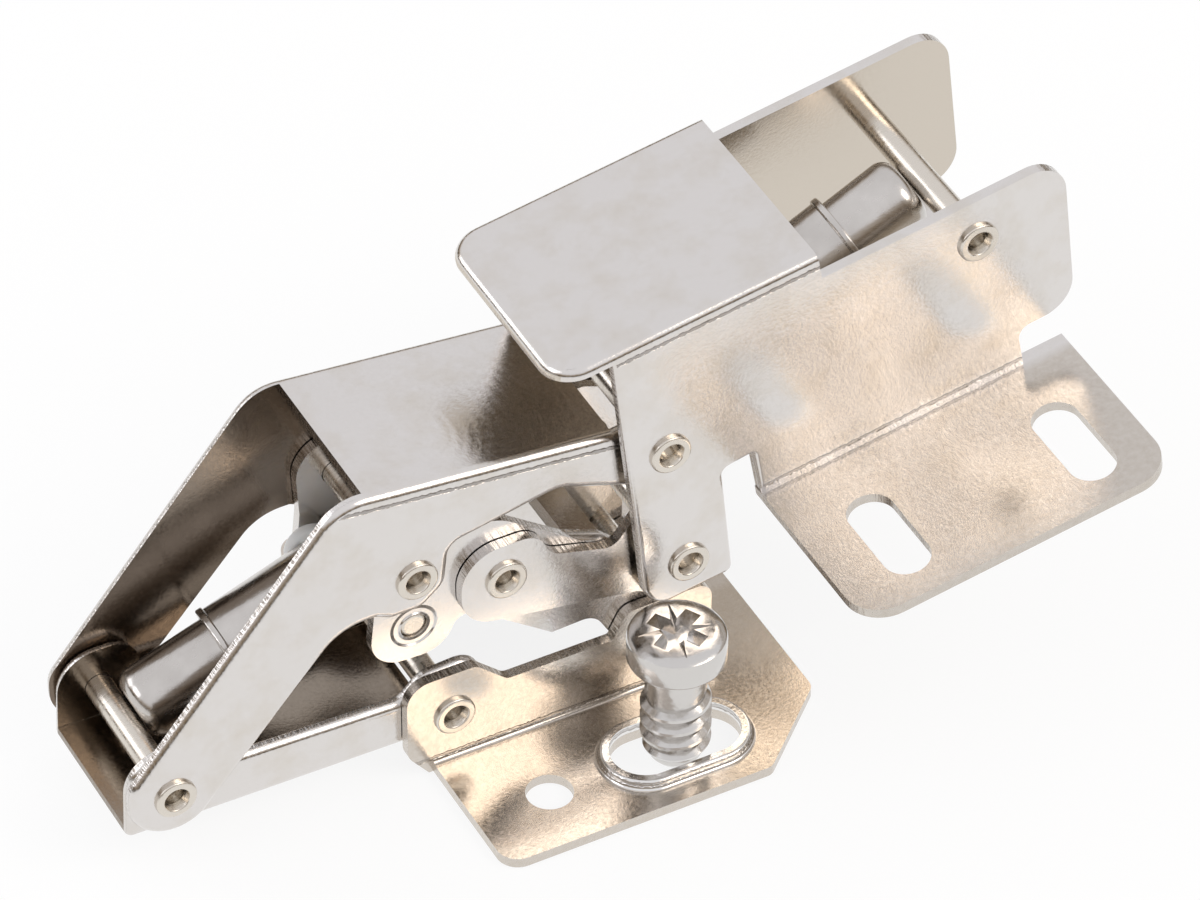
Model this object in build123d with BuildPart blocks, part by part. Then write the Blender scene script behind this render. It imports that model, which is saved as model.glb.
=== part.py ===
"""Folding bridge hinge of pressed, nickel-plated sheet steel, in its compact, folded state.

Two arms, a cross link and a pair of short links carry the door bracket on the base plate,
and two telescoping spring cartridges push the linkage.  Millimetres, +Z up, X along the
plate, Y along the axles.  The origin lies on the plate's underside, midway between its two
round screw holes.  Each pivot is named for what it joins.
"""
from build123d import *
import os
from math import atan2, cos, degrees, hypot, radians, sin

# --- sheet and channel widths -------------------------------------------------------------
sheet = 1.0  # thickness of every pressed sheet
inner_half = 7.6  # outer half width of the innermost channels, lower arm and cross link
layer_gap = 0.1  # play between sheets that slide on each other
bracket_gap = 0.7  # play between the outer arm and the bracket, filled by collars
bend_radius = 0.9  # outer radius of a folded edge
fold_root = 0.5  # inner radius of a folded edge
middle_half = inner_half + layer_gap + sheet  # outer half width of base, outer arm, short links
outer_half = middle_half + bracket_gap + sheet  # outer half width of the door bracket

# --- pivots, as (X, Z) in the folded state -------------------------------------------------
base_rear = (-5.1, 5.85)  # base to lower arm
base_front = (17.1, 5.85)  # base to cross link
arm_joint = (-31.4, 7.95)  # lower arm to outer arm
link_joint = (-8.5, 23.05)  # outer arm to cross link
spring_seat_low = (-8.3, 16.75)  # lower spring's seat, on the cross link
short_joint = (-0.1, 19.55)  # cross link to short links
bracket_top = (14.6, 29.05)  # outer arm to door bracket
bracket_low = (16.6, 15.75)  # short links to door bracket
spring_seat_high = (22.0, 29.65)  # upper spring's seat, on the outer arm
spring_head_high = (44.0, 40.85)  # upper spring's axle, on the door bracket

# --- axles --------------------------------------------------------------------------------
axle_d = 2.5
running_play = 0.05  # radial play of an axle in a sheet that turns on it
head_d = 3.8
head_height = 0.4
bore_d = 1.8  # hollow riveted end
bore_mouth_d = 2.4
bore_depth = 2.2
collar_d = 4.2

# --- base plate ---------------------------------------------------------------------------
plate_half_width = 22.6
plate_left = -7.2
plate_right = 26.3
plate_corner = 2.0
plate_chamfer_x = 7.9
plate_chamfer_y = 7.1
plate_opening_right = 20.4  # right end of the opening between the upright walls
hole_edge_distance = 6.1  # from the middle of holes, slots and screws to the plate's edge
hole_row_y = plate_half_width - hole_edge_distance
round_hole_d = 4.2
slot_x = 12.2
slot_length = 12.2
slot_width = 6.3
slot_rim = 0.9
slot_rim_height = 0.9

# --- fixing screws ------------------------------------------------------------------------
screw_head_d = 8.8
screw_head_height = 2.6
screw_length = 14.0
screw_thread_d = 6.2
screw_thread_length = 7.4
screw_neck_d = 5.3
recess_length = 4.8
recess_width = 1.1
recess_depth = 1.9

# --- door bracket, in its own tilted frame (s along its roof, n away from it) ---------------
bracket_tilt = 9.5
roof_height = 13.8  # roof above the upper pivot
roof_left = -8.8
roof_right = 16.3
roof_corner = 3.2
flange_half_width = 28.6
flange_drop = 9.6  # flange's upper face below the upper pivot
flange_left = 7.4
flange_right = 38.0
flange_corner = 3.6
flange_slot_length = 10.3
flange_slot_width = 4.3
flange_slot_first = 14.0
flange_slot_pitch = 18.3
flange_slot_y = 21.0

# --- spring cartridges --------------------------------------------------------------------
tube_d = 6.75
tube_wall = 0.5
tube_cap_round = 1.4
sleeve_d = 7.9
sleeve_play = 0.06
bead_height = 0.22
bead_width = 0.7
cap_play = 0.1  # between a tube's cap and its axle
low_cartridge_y = 2.0
high_cartridge_y = -0.8
low_mouth = 10.2  # distance of the sleeve's mouth from the axle at the tube's cap
high_mouth = 8.2
low_sleeve_end = 21.0
high_sleeve_end = 21.4
saddle_past_seat = 1.6
low_fork_depth = 2.3  # travel of the seat's axle into the fork
high_fork_depth = 1.3
low_fork_side = 0.9  # sideways travel of the axle in the fork
high_fork_side = 0.45
saddle_plug_length = 1.6
low_stroke = 2.75  # room between the tube and the saddle's plug
high_stroke = 0.95
spring_slack = 0.4
spring_wire_d = 1.1
spring_play = 0.15
spring_turns = 7

hole_d = axle_d + 2 * running_play
web_slope = -6.1  # slope of the outer arm's web

os.makedirs("parts", exist_ok=True)


def walls(face):
    """Planes of the outer faces of a channel's two walls, to be extruded by -sheet."""
    return [Plane.XZ.offset(face), Plane.XZ.offset(-face + sheet)]


def outline(*corners):
    """Edges of a closed outline through (x, z, radius) corners."""
    with BuildLine() as edge:
        FilletPolyline(*[c[:2] for c in corners], radius=[c[2] for c in corners], close=True)
    return edge.edges()


def write(node, label):
    """Label a finished piece and write its STEP file."""
    node.part.label = label
    export_step(node.part, f"parts/{label}.step")


# --- base plate: two flanges joined at the front, with an upright wall at each side ---------
with BuildPart() as base_plate:
    with BuildSketch() as sheet_outline:
        with BuildLine():
            corner_x = plate_right - plate_chamfer_x
            corner_y = plate_half_width - plate_chamfer_y
            FilletPolyline(
                (plate_left, -plate_half_width),
                (corner_x, -plate_half_width),
                (plate_right, -corner_y),
                (plate_right, corner_y),
                (corner_x, plate_half_width),
                (plate_left, plate_half_width),
                radius=[plate_corner, 1.2, 1.2, 1.2, 1.2, plate_corner],
                close=True,
            )
        make_face()
    extrude(amount=sheet)
    with BuildSketch(Plane.XY) as opening:
        opening_length = plate_opening_right - plate_left + 1
        with Locations((plate_opening_right - opening_length / 2, 0)):
            Rectangle(opening_length, 2 * (middle_half - sheet))
    extrude(amount=sheet, mode=Mode.SUBTRACT)
    for face in walls(middle_half):
        with BuildSketch(face):
            make_face(
                outline(
                    (plate_left - 0.4, 0, 0),
                    (base_rear[0] - 4.5, 2.6, 2),
                    (base_rear[0] - 4.5, base_rear[1] + 4.75, 2.2),
                    (base_rear[0] + 2.1, base_rear[1] + 4.75, 1.2),
                    (base_rear[0] + 5.1, base_rear[1] + 1.95, 1.0),
                    (base_front[0] - 6.9, base_front[1] + 1.95, 0.3),
                    (base_front[0] - 5.5, base_front[1] + 4.65, 1.5),
                    (base_front[0] + 2.8, base_front[1] + 4.65, 1.5),
                    (base_front[0] + 2.8, 0, 0),
                )
            )
        extrude(amount=-sheet)
    folds = base_plate.edges().filter_by(Axis.X).filter_by_position(Axis.Z, sheet - 0.01, sheet + 0.01)
    fillet(folds.filter_by(lambda e: abs(abs(e.center().Y) - middle_half) < 0.01), fold_root)
    slot_places = [(slot_x, hole_row_y), (slot_x, -hole_row_y)]
    with BuildSketch(Plane.XY.offset(sheet)) as rims:
        with Locations(slot_places):
            SlotOverall(slot_length + 2 * slot_rim, slot_width + 2 * slot_rim)
    extrude(amount=slot_rim_height)
    rim_top = base_plate.faces().filter_by(Plane.XY).filter_by_position(
        Axis.Z, sheet + slot_rim_height - 0.01, sheet + slot_rim_height + 0.01
    )
    fillet(rim_top.edges(), 0.35)
    rim_root = base_plate.edges().filter_by_position(Axis.Z, sheet - 0.01, sheet + 0.01)
    slot_ring = rim_root.filter_by(lambda e: abs(abs(e.center().Y) - hole_row_y) < 0.8 * slot_width)
    fillet(slot_ring.filter_by(lambda e: abs(e.center().X - slot_x) < slot_length * 0.6), 0.4)
    with BuildSketch(Plane.XY) as holes:
        with Locations(slot_places):
            SlotOverall(slot_length, slot_width)
        with Locations((0, hole_row_y), (0, -hole_row_y)):
            Circle(round_hole_d / 2)
    extrude(amount=sheet + slot_rim_height, mode=Mode.SUBTRACT)
    with BuildSketch(Plane.XZ) as pivot_holes:
        with Locations(base_rear, base_front):
            Circle(axle_d / 2)
    extrude(amount=outer_half, both=True, mode=Mode.SUBTRACT)
write(base_plate, "base_plate")


# --- lower arm: shallow channel between the base's rear tabs and the outer arm ---------------
floor_left = (arm_joint[0] - 4.0, arm_joint[1] - 4.3)  # underside of the floor, left end
floor_right = (base_rear[0] + 4.0, base_rear[1] - 2.8)  # and in line with it, right end
with BuildPart() as lower_arm:
    with BuildSketch(Plane.XZ) as side:
        make_face(
            outline(
                (floor_left[0], floor_left[1], 0.4),
                (arm_joint[0] - 3.75, arm_joint[1] + 4.1, 3.7),
                (arm_joint[0] + 3.75, arm_joint[1] + 4.1, 2.7),
                (arm_joint[0] + 3.9, arm_joint[1] + 0.9, 0.3),
                (base_rear[0] - 4.4, base_rear[1] + 2.35, 1.2),
                (base_rear[0] - 2.4, base_rear[1] + 4.4, 2.2),
                (base_rear[0] + 2.2, base_rear[1] + 4.7, 2.4),
                (base_rear[0] + 4.2, base_rear[1] + 1.6, 2),
                (floor_right[0], floor_right[1], 2.5),
            )
        )
    extrude(amount=inner_half, both=True)
    floor_slope = (floor_right[1] - floor_left[1]) / (floor_right[0] - floor_left[0])
    floor_axis = Axis((0, 0, 0), (1, 0, floor_slope))
    fillet(lower_arm.edges().filter_by(floor_axis, tolerance=0.01).sort_by(Axis.Z)[:2], bend_radius)
    with BuildSketch(Plane.XZ) as inside:
        with BuildLine():
            Polyline(
                (arm_joint[0] - 9, floor_left[1] + sheet + floor_slope * (arm_joint[0] - 9 - floor_left[0])),
                (base_rear[0] - 0.9, floor_right[1] + sheet + floor_slope * (base_rear[0] - 0.9 - floor_right[0])),
                (base_rear[0] - 0.9, 0),
                (base_rear[0] + 9, 0),
                (base_rear[0] + 9, arm_joint[1] + 9),
                (arm_joint[0] - 9, arm_joint[1] + 9),
                close=True,
            )
        make_face()
    extrude(amount=inner_half - sheet, both=True, mode=Mode.SUBTRACT)
    with BuildSketch(Plane.XZ) as pivot_holes:
        with Locations(base_rear, arm_joint):
            Circle(hole_d / 2)
    extrude(amount=outer_half, both=True, mode=Mode.SUBTRACT)
write(lower_arm, "lower_arm")


# --- outer arm: deep channel with a bridging web over the folded links -----------------------
arm_end = 4.1  # radius of the arm's round end
web_left = (arm_joint[0] + 18.5, link_joint[1] + 10.9)
web_right_x = bracket_top[0] - 4.4
slope = radians(web_slope)
web_drop = (web_right_x - web_left[0]) * sin(slope) / cos(slope)
web_right = (web_right_x, web_left[1] + web_drop)
with BuildPart() as outer_arm:
    with BuildSketch(Plane.XZ) as side:
        make_face(
            outline(
                (web_right[0], web_right[1], 0),
                (web_left[0] - 2.6, web_left[1] - 2.6 * sin(slope) / cos(slope), 4.5),
                (arm_joint[0] - arm_end, arm_joint[1] + 1.75, 2.5),
                (arm_joint[0] - arm_end, arm_joint[1] - arm_end, arm_end),
                (arm_joint[0] + 1.9, arm_joint[1] - arm_end, arm_end),
                (link_joint[0] - 7.0, link_joint[1] - 3.05, 5),
                (link_joint[0] - 3.9, link_joint[1] - 3.05, 0.5),
                (link_joint[0] - 2.4, link_joint[1] - 3.75, 1),
                (link_joint[0] + 0.6, link_joint[1] - 3.75, 2.4),
                (link_joint[0] + 2.9, link_joint[1] - 1.75, 2.2),
                (link_joint[0] + 3.3, link_joint[1] + 2.35, 1.5),
                (link_joint[0] + 13.5, link_joint[1] + 4.35, 3),
                (bracket_top[0] - 3.1, bracket_top[1] - 4.1, 2.5),
                (bracket_top[0] + 3.4, bracket_top[1] - 4.4, 3),
                (spring_seat_high[0] + 3.2, spring_seat_high[1] - 3.0, 3),
                (spring_seat_high[0] + 3.2, spring_seat_high[1] + 3.2, 2.6),
                (spring_seat_high[0] - 1.5, spring_seat_high[1] + 3.4, 2),
            )
        )
    extrude(amount=middle_half, both=True)
    web_axis = Axis((0, 0, 0), (cos(slope), 0, sin(slope)))
    fillet(outer_arm.edges().filter_by(web_axis, tolerance=0.01).sort_by(Axis.Z)[-2:], bend_radius)
    with BuildSketch(Plane.XZ) as inside:
        with BuildLine():
            Polyline(
                (web_left[0], web_left[1] + 9),
                (web_left[0] + sheet * sin(slope), web_left[1] - sheet * cos(slope)),
                (web_right[0], web_right[1] - sheet / cos(slope)),
                (web_right[0], web_right[1] + 9),
                (spring_seat_high[0] + 9, web_left[1] + 9),
                (spring_seat_high[0] + 9, 0),
                (arm_joint[0] - 9, 0),
                (arm_joint[0] - 9, web_left[1] + 9),
                close=True,
            )
        make_face()
    extrude(amount=middle_half - sheet, both=True, mode=Mode.SUBTRACT)
    with BuildSketch(Plane.XZ) as pivot_holes:
        with Locations(arm_joint, link_joint, spring_seat_high):
            Circle(axle_d / 2)
        with Locations(bracket_top):
            Circle(hole_d / 2)
    extrude(amount=outer_half, both=True, mode=Mode.SUBTRACT)
write(outer_arm, "outer_arm")


# --- cross link: two walls joined by a narrow bridge, hooked over the front base axle --------
bridge_left = (short_joint[0] + 6.3, short_joint[1] + 1.25)
bridge_right = (short_joint[0] + 9.8, short_joint[1] - 0.25)
hook = axle_d / 2 + running_play
with BuildPart() as cross_link:
    for face in walls(inner_half):
        with BuildSketch(face):
            make_face(
                outline(
                    (link_joint[0] - 3.9, link_joint[1] + 3.65, 3.4),
                    (link_joint[0] - 3.5, spring_seat_low[1] + 2.75, 2),
                    (spring_seat_low[0] - 4.3, spring_seat_low[1] - 3.45, 3.1),
                    (spring_seat_low[0] + 2.9, spring_seat_low[1] - 3.75, 3),
                    (spring_seat_low[0] + 4.3, spring_seat_low[1] + 0.25, 1.5),
                    (short_joint[0] + 5.0, short_joint[1] - 9.35, 0.3),
                    (short_joint[0] + 9.1, short_joint[1] - 9.15, 2),
                    (base_front[0] - 4.5, base_front[1] - 1.85, 1),
                    (base_front[0] - 3.1, base_front[1] - 3.45, 2.5),
                    (base_front[0] + 3.7, base_front[1] - 3.45, 1),
                    (base_front[0] + 4.1, base_front[1] + 0.8 - hook, 0.3),
                    (base_front[0] + 1.0, base_front[1] - 0.05 - hook, 1.5),
                    (base_front[0] - hook, base_front[1] - hook, hook - 0.02),
                    (base_front[0] - hook - 0.05, base_front[1] + 0.85, 0.8),
                    (base_front[0] + 1.1, base_front[1] + 3.4, 0.6),
                    (base_front[0] + 1.5, base_front[1] + 5.1, 0.5),
                    (bridge_right[0], bridge_right[1], 0),
                    (bridge_left[0], bridge_left[1], 0),
                    (short_joint[0] + 0.4, short_joint[1] + 5.65, 4),
                    (link_joint[0] + 3.5, link_joint[1] + 3.95, 3),
                )
            )
        extrude(amount=-sheet)
    bridge_turn = atan2(bridge_right[1] - bridge_left[1], bridge_right[0] - bridge_left[0])
    down = (sheet * sin(bridge_turn), -sheet * cos(bridge_turn))
    with BuildSketch(Plane.XZ) as bridge:
        with BuildLine():
            Polyline(
                bridge_left,
                bridge_right,
                (bridge_right[0] + down[0], bridge_right[1] + down[1]),
                (bridge_left[0] + down[0], bridge_left[1] + down[1]),
                close=True,
            )
        make_face()
    extrude(amount=inner_half, both=True)
    bridge_axis = Axis((0, 0, 0), (cos(bridge_turn), 0, sin(bridge_turn)))
    top_edges = cross_link.edges().filter_by(bridge_axis, tolerance=0.01)
    outer_edges = top_edges.filter_by(lambda e: abs(abs(e.center().Y) - inner_half) < 0.01)
    fillet(outer_edges, bend_radius)
    with BuildSketch(Plane.XZ) as pivot_holes:
        with Locations(link_joint, short_joint):
            Circle(hole_d / 2)
        with Locations(spring_seat_low):
            Circle(axle_d / 2)
    extrude(amount=outer_half, both=True, mode=Mode.SUBTRACT)
write(cross_link, "cross_link")


# --- short links: a plate at each side, outside the cross link -------------------------------
low_slot_travel = (-1.9, 1.1)  # way of the bracket's axle in the link's slot
low_slot_width = 3.6
for name, face in zip(("near", "far"), walls(middle_half)):
    with BuildPart() as short_link:
        with BuildSketch(face):
            make_face(
                outline(
                    (short_joint[0] - 4.2, short_joint[1] + 3.8, 3.7),
                    (short_joint[0] - 4.2, short_joint[1] - 3.8, 3.7),
                    (bracket_low[0] - 3.8, bracket_low[1] - 3.15, 3),
                    (bracket_low[0] - 2.6, bracket_low[1] - 4.1, 2),
                    (bracket_low[0] + 4.0, bracket_low[1] - 4.1, 3.6),
                    (bracket_low[0] + 4.0, bracket_low[1] + 4.1, 3.6),
                    (bracket_low[0] - 0.6, bracket_low[1] + 6.0, 2),
                    (bracket_low[0] - 4.0, bracket_low[1] + 6.0, 1.5),
                    (bracket_low[0] - 6.4, bracket_low[1] + 2.95, 1.5),
                    (short_joint[0] + 4.3, short_joint[1] + 0.95, 2),
                    (short_joint[0] + 3.1, short_joint[1] + 3.8, 2.4),
                )
            )
            with Locations(short_joint):
                Circle(axle_d / 2, mode=Mode.SUBTRACT)
            low_slot_turn = degrees(atan2(low_slot_travel[1], low_slot_travel[0]))
            with Locations((bracket_low[0] + low_slot_travel[0] / 2, bracket_low[1] + low_slot_travel[1] / 2)):
                SlotCenterToCenter(hypot(*low_slot_travel), low_slot_width, rotation=low_slot_turn, mode=Mode.SUBTRACT)
        extrude(amount=-sheet)
    write(short_link, f"short_link_{name}")


# --- door bracket: roofed channel with a slotted flange folded outwards at each side ---------
tilt = radians(bracket_tilt)
bracket_plane = Plane(
    origin=(bracket_top[0], 0, bracket_top[1]), x_dir=(cos(tilt), 0, sin(tilt)), z_dir=(0, -1, 0)
)


def in_bracket(point):
    """A pivot's place (s, n) in the bracket's own frame."""
    dx = point[0] - bracket_top[0]
    dz = point[1] - bracket_top[1]
    return (dx * cos(tilt) + dz * sin(tilt), dz * cos(tilt) - dx * sin(tilt))


low_s, low_n = in_bracket(bracket_low)
head_s, head_n = in_bracket(spring_head_high)
roof_plane = Plane(
    origin=bracket_plane.from_local_coords((0, roof_height, 0)),
    x_dir=(cos(tilt), 0, sin(tilt)),
    z_dir=(-sin(tilt), 0, cos(tilt)),
)
flange_plane = Plane(
    origin=bracket_plane.from_local_coords((0, -flange_drop, 0)),
    x_dir=(cos(tilt), 0, sin(tilt)),
    z_dir=(-sin(tilt), 0, cos(tilt)),
)
with BuildPart() as door_bracket:
    for side in (outer_half, -outer_half + sheet):
        with BuildSketch(bracket_plane.offset(side)):
            make_face(
                outline(
                    (-3.4, roof_height, 0),
                    (low_s - 4.2, -flange_drop, 0.5),
                    (low_s - 4.5, low_n - 1.2, 1),
                    (low_s - 3.7, low_n - 3.65, 2.2),
                    (low_s + 3.9, low_n - 3.65, 0.8),
                    (flange_left - 3.0, flange_drop * -0.52, 0.8),
                    (flange_left, flange_drop * -0.5, 0.3),
                    (flange_left + 0.1, -flange_drop - sheet, 0),
                    (head_s + 2.6, -flange_drop - sheet, 0),
                    (head_s + 2.5, head_n - 12.3, 1.2),
                    (head_s + 8.2, head_n - 12.2, 3.2),
                    (head_s + 9.0, head_n + 4.6, 3.2),
                    (roof_right, head_n + 4.4, 0),
                    (roof_right, roof_height, 0),
                )
            )
        extrude(amount=-sheet)
    with BuildSketch(roof_plane) as roof:
        with Locations(((roof_left + roof_right) / 2, 0)):
            Rectangle(roof_right - roof_left, 2 * outer_half)
        fillet(roof.vertices().group_by(Axis.X)[0], roof_corner)
    extrude(amount=-sheet)
    lengthwise = Axis((0, 0, 0), tuple(roof_plane.x_dir))
    outwards = Axis((0, 0, 0), tuple(roof_plane.z_dir))
    roof_edges = door_bracket.edges().filter_by(lengthwise, tolerance=0.01)
    ridges = roof_edges.filter_by(lambda e: abs(abs(e.center().Y) - outer_half) < 0.01)
    fillet(ridges.sort_by(outwards)[-2:], bend_radius)
    with BuildSketch(flange_plane) as flanges:
        for side in (-1, 1):
            width = flange_half_width - outer_half + sheet
            with Locations(((flange_left + flange_right) / 2, side * (flange_half_width - width / 2))):
                Rectangle(flange_right - flange_left, width)
        fillet(flanges.vertices().filter_by(lambda v: abs(v.Y) > outer_half + 1), flange_corner)
        for side in (-1, 1):
            for index in range(2):
                with Locations((flange_slot_first + index * flange_slot_pitch, side * flange_slot_y)):
                    SlotOverall(flange_slot_length, flange_slot_width, rotation=90, mode=Mode.SUBTRACT)
    extrude(amount=-sheet)
    flange_edges = door_bracket.edges().filter_by(lengthwise, tolerance=0.01)
    folds = flange_edges.filter_by(lambda e: abs(abs(e.center().Y) - outer_half) < 0.01)
    fillet(folds.sort_by(outwards)[:2], fold_root)
    with BuildSketch(bracket_plane) as pivot_holes:
        with Locations((0, 0), (low_s, low_n), (head_s, head_n)):
            Circle(axle_d / 2)
    extrude(amount=2 * outer_half, both=True, mode=Mode.SUBTRACT)
write(door_bracket, "door_bracket")


# --- axles: hollow-ended rivets, each with a head at both ends -------------------------------
def axle_section(pivot):
    """Plane through an axle: its x is the radius, its y runs along the axle."""
    return Plane(origin=(pivot[0], 0, pivot[1]), x_dir=(1, 0, 0), z_dir=(0, 0, 1))


axles = [
    ("base_rear_axle", base_rear, middle_half, 0),
    ("base_front_axle", base_front, middle_half, 0),
    ("arm_joint_axle", arm_joint, middle_half, 0),
    ("link_joint_axle", link_joint, middle_half, 0),
    ("short_link_axle", short_joint, middle_half, 0),
    ("bracket_top_axle", bracket_top, outer_half, bracket_gap),
    ("bracket_low_axle", bracket_low, outer_half, bracket_gap),
    ("spring_axle_high", spring_head_high, outer_half, 0),
    ("spring_seat_axle_high", spring_seat_high, middle_half, 0),
]
for label, pivot, seat, collar in axles:
    section = axle_section(pivot)
    with BuildPart() as axle:
        with BuildSketch(section) as half:
            with BuildLine():
                radius = axle_d / 2
                FilletPolyline(
                    (0, 0),
                    (radius, 0),
                    (radius, seat),
                    (head_d / 2, seat),
                    (head_d / 2, seat + head_height),
                    (bore_mouth_d / 2, seat + head_height),
                    (bore_d / 2, seat + head_height - 0.7),
                    (bore_d / 2, seat + head_height - bore_depth),
                    (0, seat + head_height - bore_depth - 0.5),
                    radius=[0, 0, 0, 0, 0.22, 0.15, 0, 0, 0],
                    close=True,
                )
            make_face()
            if collar:
                with Locations((collar_d / 4, seat - sheet - collar / 2 + running_play / 2)):
                    Rectangle(collar_d / 2, collar - running_play)
        revolve(axis=Axis(section.origin, section.y_dir))
        mirror(about=Plane.XZ)
    write(axle, label)

# the low spring's seat axle ends flush, in a dished ring of the cross link
with BuildPart() as spring_seat_axle_low:
    section = axle_section(spring_seat_low)
    with BuildSketch(section):
        with BuildLine():
            FilletPolyline(
                (0, 0),
                (axle_d / 2, 0),
                (axle_d / 2, inner_half - 0.1),
                (0, inner_half - 0.1),
                radius=[0, 0, 0.4, 0],
                close=True,
            )
        make_face()
    revolve(axis=Axis(section.origin, section.y_dir))
    mirror(about=Plane.XZ)
write(spring_seat_axle_low, "spring_seat_axle_low")


# --- spring cartridges: a capped tube sliding in a sleeve, a nylon saddle and a spring -------
def cartridge_frame(head, seat, offset_y):
    """Plane across a cartridge at its capped end's axle: z runs to the seat, y along the axle."""
    run = Vector(seat[0] - head[0], 0, seat[1] - head[1])
    return Plane(origin=(head[0], offset_y, head[1]), x_dir=Vector(0, 1, 0).cross(run), z_dir=run)


cartridges = [
    ("low", arm_joint, spring_seat_low, low_cartridge_y, low_mouth, low_stroke,
     low_sleeve_end, low_fork_depth, low_fork_side),
    ("high", spring_head_high, spring_seat_high, high_cartridge_y, high_mouth, high_stroke,
     high_sleeve_end, high_fork_depth, high_fork_side),
]
for name, head, seat, offset_y, mouth, stroke, sleeve_end, depth, side in cartridges:
    frame = cartridge_frame(head, seat, offset_y)
    reach = hypot(seat[0] - head[0], seat[1] - head[1])
    cap = axle_d / 2 + cap_play
    tube_length = sleeve_end - saddle_plug_length - stroke - cap
    coil = tube_length - spring_slack
    bore = tube_d / 2 - tube_wall
    with BuildPart() as tube:
        with BuildSketch(frame.offset(cap)):
            Circle(tube_d / 2)
        extrude(amount=tube_length)
        fillet(tube.faces().sort_by(Axis(frame.origin, frame.z_dir))[0].edges(), tube_cap_round)
        with BuildSketch(frame.offset(cap + tube_wall)):
            Circle(bore)
        extrude(amount=tube_length, mode=Mode.SUBTRACT)
    write(tube, f"{name}_tube")

    sleeve_bore = tube_d / 2 + sleeve_play
    with BuildPart() as sleeve:
        with BuildSketch(frame.offset(mouth)):
            Circle(sleeve_d / 2)
        extrude(amount=sleeve_end - mouth)
        with BuildSketch(frame.offset(mouth)):
            Circle(sleeve_d / 2 + bead_height)
        extrude(amount=bead_width)
        fillet(sleeve.edges().group_by(SortBy.LENGTH)[-1], bead_height * 0.9)
        with BuildSketch(frame.offset(mouth)):
            Circle(sleeve_bore)
        extrude(amount=sleeve_end - mouth, mode=Mode.SUBTRACT)
    write(sleeve, f"{name}_sleeve")

    fork_half = axle_d / 2 + running_play + side / 2
    with BuildPart() as saddle:
        with BuildSketch(frame.offset(sleeve_end - saddle_plug_length)):
            Circle(sleeve_bore)
        extrude(amount=saddle_plug_length)
        with BuildSketch(frame.offset(sleeve_end)):
            Circle(sleeve_d / 2)
        extrude(amount=reach + saddle_past_seat - sleeve_end)
        with BuildSketch(frame.offset(reach - axle_d / 2 - depth - running_play)):
            with Locations((side / 2, 0)):
                Rectangle(2 * fork_half, 2 * sleeve_d)
        extrude(amount=reach, mode=Mode.SUBTRACT)
    write(saddle, f"{name}_saddle")

    coil_radius = bore - spring_play - spring_wire_d / 2
    coil_start = cap + tube_wall + spring_wire_d / 2 + 0.02
    pitch = (coil - spring_wire_d) / spring_turns
    coil_frame = frame.offset(coil_start)
    with BuildPart() as spring:
        with BuildLine() as path:
            Helix(
                pitch=pitch,
                height=coil - spring_wire_d,
                radius=coil_radius,
                center=coil_frame.origin,
                direction=coil_frame.z_dir,
            )
        with BuildSketch(Plane(origin=path.line @ 0, z_dir=path.line % 0)):
            Circle(spring_wire_d / 2)
        sweep()
    write(spring, f"{name}_spring")


# --- fixing screws: one standing in each of the base plate's slots ---------------------------
for name, y in (("near", -hole_row_y), ("far", hole_row_y)):
    with BuildPart() as screw:
        with BuildSketch(Plane.XY) as thread:
            with Locations((slot_x, y)):
                Circle(screw_thread_d / 2)
        extrude(amount=screw_thread_length)
        chamfer(screw.edges().sort_by(Axis.Z)[0], 0.6)
        with BuildSketch(Plane.XY) as neck:
            with Locations((slot_x, y)):
                Circle(screw_neck_d / 2)
        extrude(amount=screw_length)
        with BuildSketch(Plane.XY.offset(screw_length - screw_head_height)) as head:
            with Locations((slot_x, y)):
                Circle(screw_head_d / 2)
        extrude(amount=screw_head_height)
        head_edges = screw.edges().filter_by(GeomType.CIRCLE).filter_by(
            lambda e: abs(e.radius - screw_head_d / 2) < 0.01
        )
        chamfer(head_edges.sort_by(Axis.Z)[0], 0.7)
        fillet(head_edges.sort_by(Axis.Z)[-1], 0.5)
        with BuildSketch(Plane.XY.offset(screw_length)) as recess:
            with Locations((slot_x, y)):
                Rectangle(recess_length, recess_width, rotation=20)
                Rectangle(recess_width, recess_length, rotation=20)
        extrude(amount=-recess_depth, taper=12, mode=Mode.SUBTRACT)
    write(screw, f"fixing_screw_{name}")
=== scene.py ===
import math

import bmesh
import bpy
from mathutils import Matrix, Vector


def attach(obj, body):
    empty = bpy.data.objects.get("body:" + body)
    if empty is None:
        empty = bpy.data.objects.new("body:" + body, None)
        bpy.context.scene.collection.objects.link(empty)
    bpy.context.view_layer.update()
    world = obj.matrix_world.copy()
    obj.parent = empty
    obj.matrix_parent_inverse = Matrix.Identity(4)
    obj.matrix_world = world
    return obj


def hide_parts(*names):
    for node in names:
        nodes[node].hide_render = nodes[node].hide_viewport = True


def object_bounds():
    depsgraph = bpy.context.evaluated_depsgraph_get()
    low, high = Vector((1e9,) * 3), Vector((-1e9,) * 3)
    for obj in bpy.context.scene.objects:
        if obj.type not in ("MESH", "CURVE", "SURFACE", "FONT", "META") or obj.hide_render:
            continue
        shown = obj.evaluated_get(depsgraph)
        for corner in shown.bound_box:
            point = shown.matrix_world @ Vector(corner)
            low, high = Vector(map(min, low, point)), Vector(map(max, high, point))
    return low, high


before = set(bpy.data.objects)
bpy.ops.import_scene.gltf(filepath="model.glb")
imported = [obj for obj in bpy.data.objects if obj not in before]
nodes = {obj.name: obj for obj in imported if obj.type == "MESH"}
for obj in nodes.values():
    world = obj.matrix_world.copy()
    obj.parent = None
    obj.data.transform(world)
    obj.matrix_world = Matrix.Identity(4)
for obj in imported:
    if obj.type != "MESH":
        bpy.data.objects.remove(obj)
cad_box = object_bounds()

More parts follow.
